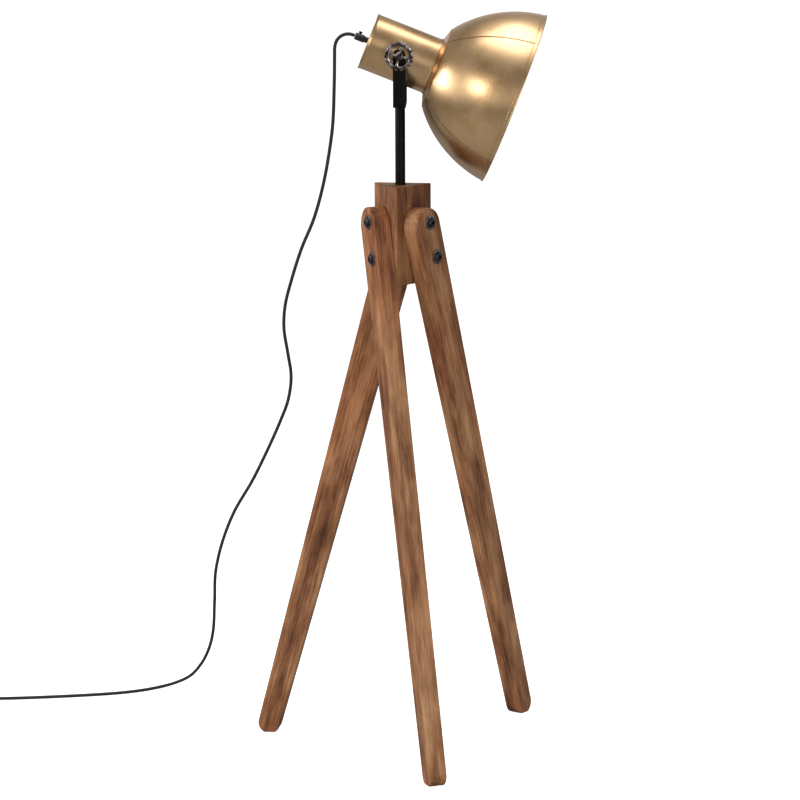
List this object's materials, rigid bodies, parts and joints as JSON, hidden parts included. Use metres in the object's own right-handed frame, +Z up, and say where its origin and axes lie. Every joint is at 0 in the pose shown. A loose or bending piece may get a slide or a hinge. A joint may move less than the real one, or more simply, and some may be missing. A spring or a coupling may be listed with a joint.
{
  "type": "tripod floor lamp",
  "caption": "Floor lamp: wooden tripod on a triangular hub, steel mast with a fork, and a brass-finish spotlight head that tilts between clamp handwheels, with mains cord and plug.",
  "frame": {"origin": "on the floor, below the middle of the lamp's box without its cord", "axes": "+Z up, +X the way the head points (and a little down), Y along the head's tilt axis"},
  "size_m": [1.0272, 0.6781, 1.1889],
  "materials": {
    "wood": "oiled mango wood with visible grain, eased edges",
    "antique_brass": "satin antique brass, spun, with soft streaks",
    "black_steel": "black powder coat, semi-matt",
    "gunmetal": "dark nickel-plated casting, satin with bright edges",
    "dark_steel": "blackened steel, oiled",
    "zinc": "zinc-plated steel",
    "black_plastic": "black moulded plastic",
    "lamp_holder": "off-white glazed ceramic",
    "contact_metal": "nickel-plated contact metal",
    "bulb_glass": "opal white glass",
    "cord_cover": "dark round cable sheath, fine woven texture",
    "lead_brown": "brown lead insulation",
    "lead_blue": "blue lead insulation",
    "plug_pin": "nickel-plated brass pin"
  },
  "bodies": {
    "stand": {"hub_block": "wood", "leg_right": "wood", "leg_rear": "wood", "leg_front": "wood", "washer_right_upper": "dark_steel", "bolt_right_upper": "dark_steel", "insert_right_upper": "zinc", "washer_right_lower": "dark_steel", "bolt_right_lower": "dark_steel", "insert_right_lower": "zinc", "washer_rear_upper": "dark_steel", "bolt_rear_upper": "dark_steel", "insert_rear_upper": "zinc", "washer_rear_lower": "dark_steel", "bolt_rear_lower": "dark_steel", "insert_rear_lower": "zinc", "washer_front_upper": "dark_steel", "bolt_front_upper": "dark_steel", "insert_front_upper": "zinc", "washer_front_lower": "dark_steel", "bolt_front_lower": "dark_steel", "insert_front_lower": "zinc", "mast_tube": "black_steel", "yoke": "black_steel", "yoke_screw": "black_steel", "mast_foot_plug": "zinc", "mast_top_plug": "zinc", "mast_foot_washer": "zinc", "mast_foot_screw": "zinc", "yoke_washer": "zinc", "cord_upper": "cord_cover", "cord_lower": "cord_cover", "cord_coil": "cord_cover", "cord_tail": "cord_cover", "plug_body": "black_plastic", "plug_pin_a": "plug_pin", "plug_pin_b": "plug_pin"},
    "head": {"housing": "antique_brass", "front_plate": "antique_brass", "rear_cap": "antique_brass", "shade": "antique_brass", "lamp_holder_body": "lamp_holder", "shade_ring": "lamp_holder", "thread_shell": "contact_metal", "centre_contact": "contact_metal", "bulb_cap": "contact_metal", "bulb_glass": "bulb_glass", "cable_gland": "black_plastic", "gland_set_screw": "black_steel", "gland_nut": "zinc", "lead_live": "lead_brown", "lead_neutral": "lead_blue", "pivot_stud_near": "zinc", "pivot_nut_near": "zinc", "pivot_spacer_near": "black_plastic", "pivot_stud_far": "zinc", "pivot_nut_far": "zinc", "pivot_spacer_far": "black_plastic"},
    "handwheel_near_body": {"handwheel_near": "gunmetal"},
    "handwheel_far_body": {"handwheel_far": "gunmetal"}
  },
  "joints": [
    {"name": "head_tilt", "type": "hinge", "parent": "stand", "child": "head", "pos_m": [0.00348, 0.02651, 1.1237], "axis": [0, 1, 0], "range_deg": [-75, 16], "deforming": ["cord_upper"]},
    {"name": "near_handwheel_turn", "type": "hinge", "parent": "head", "child": "handwheel_near_body", "pos_m": [0.00348, -0.032, 1.1237], "axis": [0, -1, 0], "range_deg": [0, 270]},
    {"name": "far_handwheel_turn", "type": "hinge", "parent": "head", "child": "handwheel_far_body", "pos_m": [0.00348, 0.088, 1.1237], "axis": [0, 1, 0], "range_deg": [0, 270]}
  ]
}
